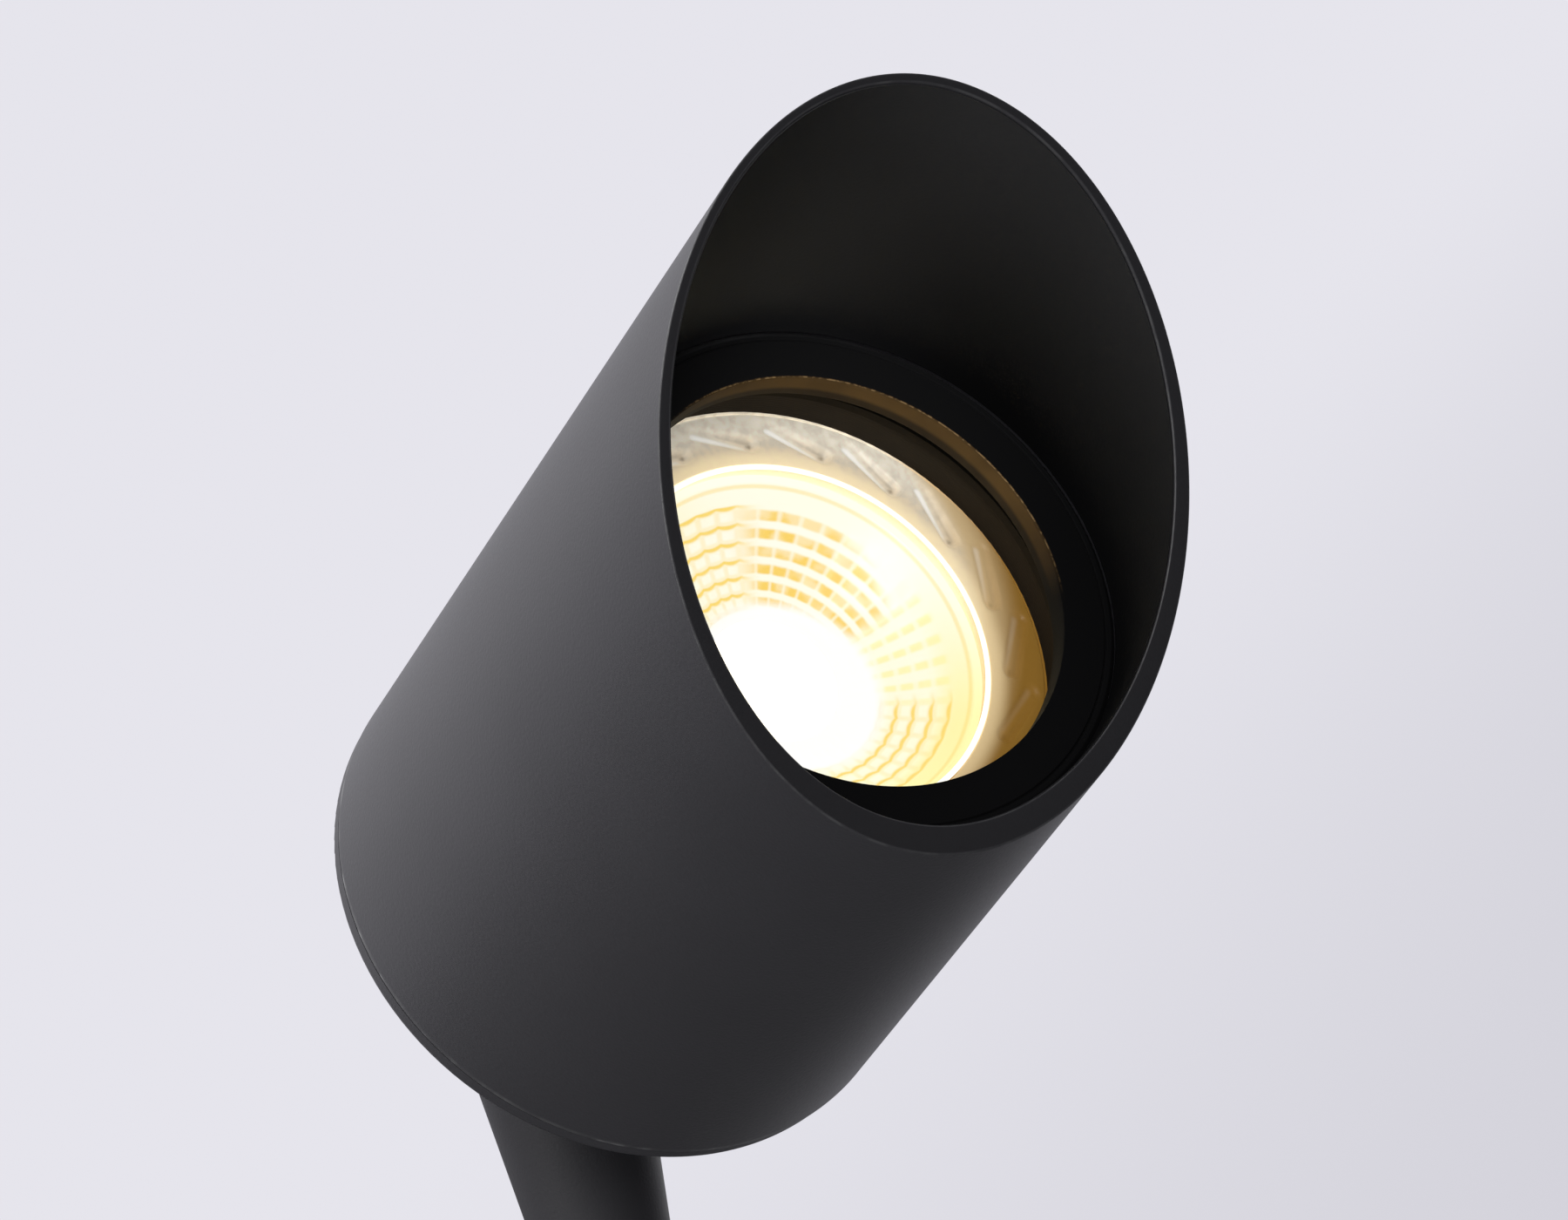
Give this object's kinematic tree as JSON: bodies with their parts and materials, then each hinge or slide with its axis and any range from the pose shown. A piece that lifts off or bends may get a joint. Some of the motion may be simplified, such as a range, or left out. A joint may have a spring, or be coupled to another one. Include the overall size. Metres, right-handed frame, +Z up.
{
  "type": "outdoor wall light",
  "caption": "Matt black wall spotlight: round head with a slant-cut hood over a glowing reflector lamp, on a tilting and turning stem and a bent arm from a round wall plate.",
  "frame": {"origin": "centre of the wall plate's back face, in the plane of the wall", "axes": "+Y into the wall, so the light stands out towards -Y; +Z up; +X along the wall to the right, seen from in front"},
  "size_m": [0.08, 0.1723, 0.1996],
  "materials": {
    "black_coat": "matte",
    "black_satin": "satin",
    "barrel_coat": "satin",
    "plated_steel": "satin",
    "black_steel": "satin",
    "rubber_seal": "matte",
    "silicone_seal": "matte",
    "nylon": "satin",
    "cover_glass": "polished",
    "lamp_white": "satin",
    "lamp_clear": "polished",
    "lamp_mirror": "polished",
    "lamp_source": "satin",
    "circuit": "satin",
    "pin_metal": "satin",
    "ceramic": "matte",
    "lead_sleeve": "matte",
    "terminal_plastic": "satin"
  },
  "bodies": {
    "wall_base": {"wall_bracket": "plated_steel", "wall_gasket": "rubber_seal", "wall_grommet": "rubber_seal", "canopy": "black_coat", "canopy_screws": "black_steel", "arm_tube": "black_coat", "arm_collar": "black_coat", "arm_lock_nut": "plated_steel", "arm_lock_washer": "plated_steel", "swivel_spigot": "plated_steel", "swivel_washer": "nylon", "terminal_block": "terminal_plastic", "terminal_screws": "plated_steel", "earth_screw": "plated_steel"},
    "swivel": {"swivel_yoke": "black_coat", "yoke_grommet": "rubber_seal", "swivel_set_screw": "black_steel", "pivot_bolt": "black_steel", "pivot_nut": "black_steel", "pivot_washers": "nylon"},
    "head": {"head_sleeve": "black_coat", "rear_cap": "black_coat", "retaining_ring": "black_satin", "lamp_barrel": "barrel_coat", "holder_bracket": "plated_steel", "holder_screws": "plated_steel", "cap_screws": "black_steel", "rear_cap_seal": "rubber_seal", "gland_seal": "rubber_seal", "glass_seal": "silicone_seal", "head_gland": "nylon", "gland_nut": "nylon", "cover_glass": "cover_glass", "lamp_body": "lamp_white", "lamp_base": "lamp_white", "lamp_lens": "lamp_clear", "lamp_reflector": "lamp_mirror", "lamp_led": "lamp_source", "lamp_driver": "circuit", "lamp_pins": "pin_metal", "lamp_holder": "ceramic", "holder_leads": "lead_sleeve"}
  },
  "joints": [
    {"name": "head_pan", "type": "hinge", "parent": "wall_base", "child": "swivel", "pos_m": [0, -0.08, 0.07], "axis": [0, 0, 1], "range_deg": [-90, 90]},
    {"name": "head_tilt", "type": "hinge", "parent": "swivel", "child": "head", "pos_m": [0, -0.08, 0.07], "axis": [-1, 0, 0], "range_deg": [-40, 60]}
  ]
}
